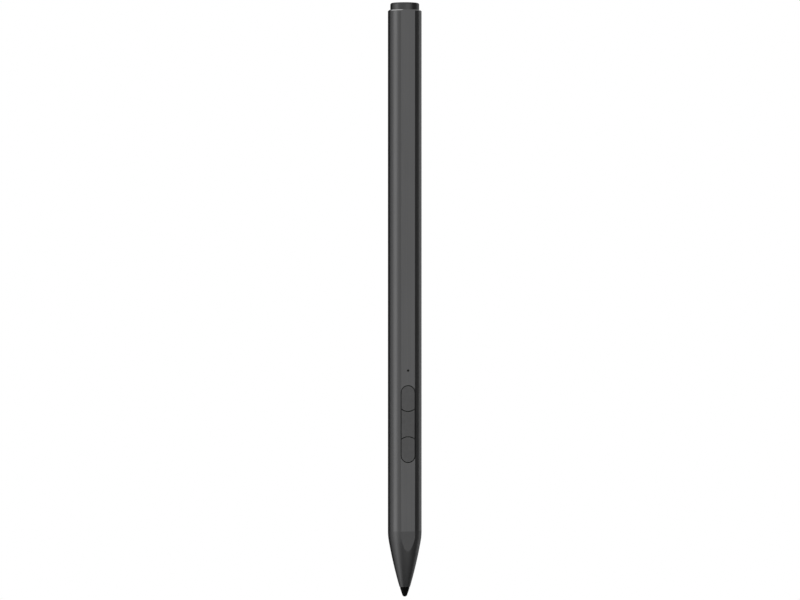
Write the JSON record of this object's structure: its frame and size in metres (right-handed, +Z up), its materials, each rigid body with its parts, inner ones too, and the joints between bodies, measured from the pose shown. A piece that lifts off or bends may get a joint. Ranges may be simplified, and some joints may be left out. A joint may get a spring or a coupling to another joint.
{
  "type": "stylus pen",
  "caption": "Slim round stylus pen with a long flat, side keys in the flat, a tail push button, a tapered nose and a pull-out nib that senses pressure.",
  "frame": {"origin": "point of the nib, on the pen's axis", "axes": "+Z up the pen's axis from nib to tail, -Y out of the flat that holds the side keys"},
  "size_m": [0.009, 0.0086, 0.1585],
  "materials": {
    "anodised_barrel": "satin anodised, dark grey",
    "nose_plastic": "satin painted, dark grey",
    "key_plastic": "satin painted, dark grey",
    "button_plastic": "semi-gloss, dark grey",
    "nib_plastic": "matte black",
    "nib_carbon": "drawn carbon-filled rod",
    "smoked_lens": "smoked, glossy",
    "bearing_plastic": "natural acetal",
    "ring_copper": "plated copper",
    "spring_steel": "bright wire",
    "sensor_can": "drawn can",
    "silicone_pad": "moulded silicone",
    "flex_film": "amber polyimide film",
    "circuit_board": "green solder mask",
    "chip_black": "moulded epoxy",
    "crystal_can": "plated lid",
    "passive_ceramic": "ceramic with tinned ends",
    "switch_plastic": "moulded",
    "stem_plastic": "moulded",
    "led_body": "moulded, translucent",
    "screw_steel": "plated",
    "connector_plastic": "moulded",
    "chassis_plastic": "glass-filled, moulded",
    "cell_can": "drawn can",
    "cell_wrap": "shrunk sleeve",
    "lead_insulation": "insulated wire",
    "foam": "closed-cell foam",
    "magnet_nickel": "nickel plated",
    "port_steel": "drawn stainless",
    "port_plastic": "moulded",
    "contact_gold": "gold flash"
  },
  "bodies": {
    "pen_body": {"barrel": "anodised_barrel", "nose_cone": "nose_plastic", "nib_guide": "bearing_plastic", "tilt_ring": "ring_copper", "nib_spring": "spring_steel", "sensor_pad": "silicone_pad", "force_sensor": "sensor_can", "sensor_flex": "flex_film", "key_bridge": "key_plastic", "lower_switch": "switch_plastic", "upper_switch": "switch_plastic", "status_led": "led_body", "light_pipe": "smoked_lens", "main_board": "circuit_board", "processor_chip": "chip_black", "radio_chip": "chip_black", "clock_crystal": "crystal_can", "board_passives": "passive_ceramic", "board_screws": "screw_steel", "ribbon_connector": "connector_plastic", "ribbon_cable": "flex_film", "chassis": "chassis_plastic", "battery_cell": "cell_can", "battery_wrap": "cell_wrap", "battery_guard_board": "circuit_board", "battery_leads": "lead_insulation", "battery_foam": "foam", "magnet_tray": "chassis_plastic", "magnets": "magnet_nickel", "charge_board": "circuit_board", "charge_chip": "chip_black", "usb_shell": "port_steel", "usb_tongue": "port_plastic", "usb_contacts": "contact_gold", "tail_board": "circuit_board", "tail_switch": "switch_plastic", "antenna": "flex_film", "tail_plug": "chassis_plastic", "tail_spring": "spring_steel"},
    "nib_plunger": {"nib_carrier": "bearing_plastic", "nib_clip": "spring_steel"},
    "nib": {"nib_tip": "nib_plastic", "nib_core": "nib_carbon"},
    "lower_side_key": {"lower_key": "key_plastic", "lower_switch_stem": "stem_plastic"},
    "upper_side_key": {"upper_key": "key_plastic", "upper_switch_stem": "stem_plastic"},
    "tail_push": {"tail_button": "button_plastic", "tail_switch_stem": "stem_plastic"}
  },
  "joints": [
    {"name": "nib_press", "type": "slide", "parent": "pen_body", "child": "nib_plunger", "axis": [0, 0, 1], "range_m": [0, 0.0003], "stiffness_N_per_m": 10000, "deforming": ["nib_spring", "sensor_pad"]},
    {"name": "nib_pull", "type": "slide", "parent": "nib_plunger", "child": "nib", "axis": [0, 0, -1], "range_m": [0, 0.013]},
    {"name": "lower_key_press", "type": "slide", "parent": "pen_body", "child": "lower_side_key", "axis": [0, 1, 0], "range_m": [0, 0.00025], "stiffness_N_per_m": 4000},
    {"name": "upper_key_press", "type": "slide", "parent": "pen_body", "child": "upper_side_key", "axis": [0, 1, 0], "range_m": [0, 0.00025], "stiffness_N_per_m": 4000},
    {"name": "tail_button_press", "type": "slide", "parent": "pen_body", "child": "tail_push", "axis": [0, 0, -1], "range_m": [0, 0.0005], "stiffness_N_per_m": 4000, "deforming": ["tail_spring"]}
  ]
}
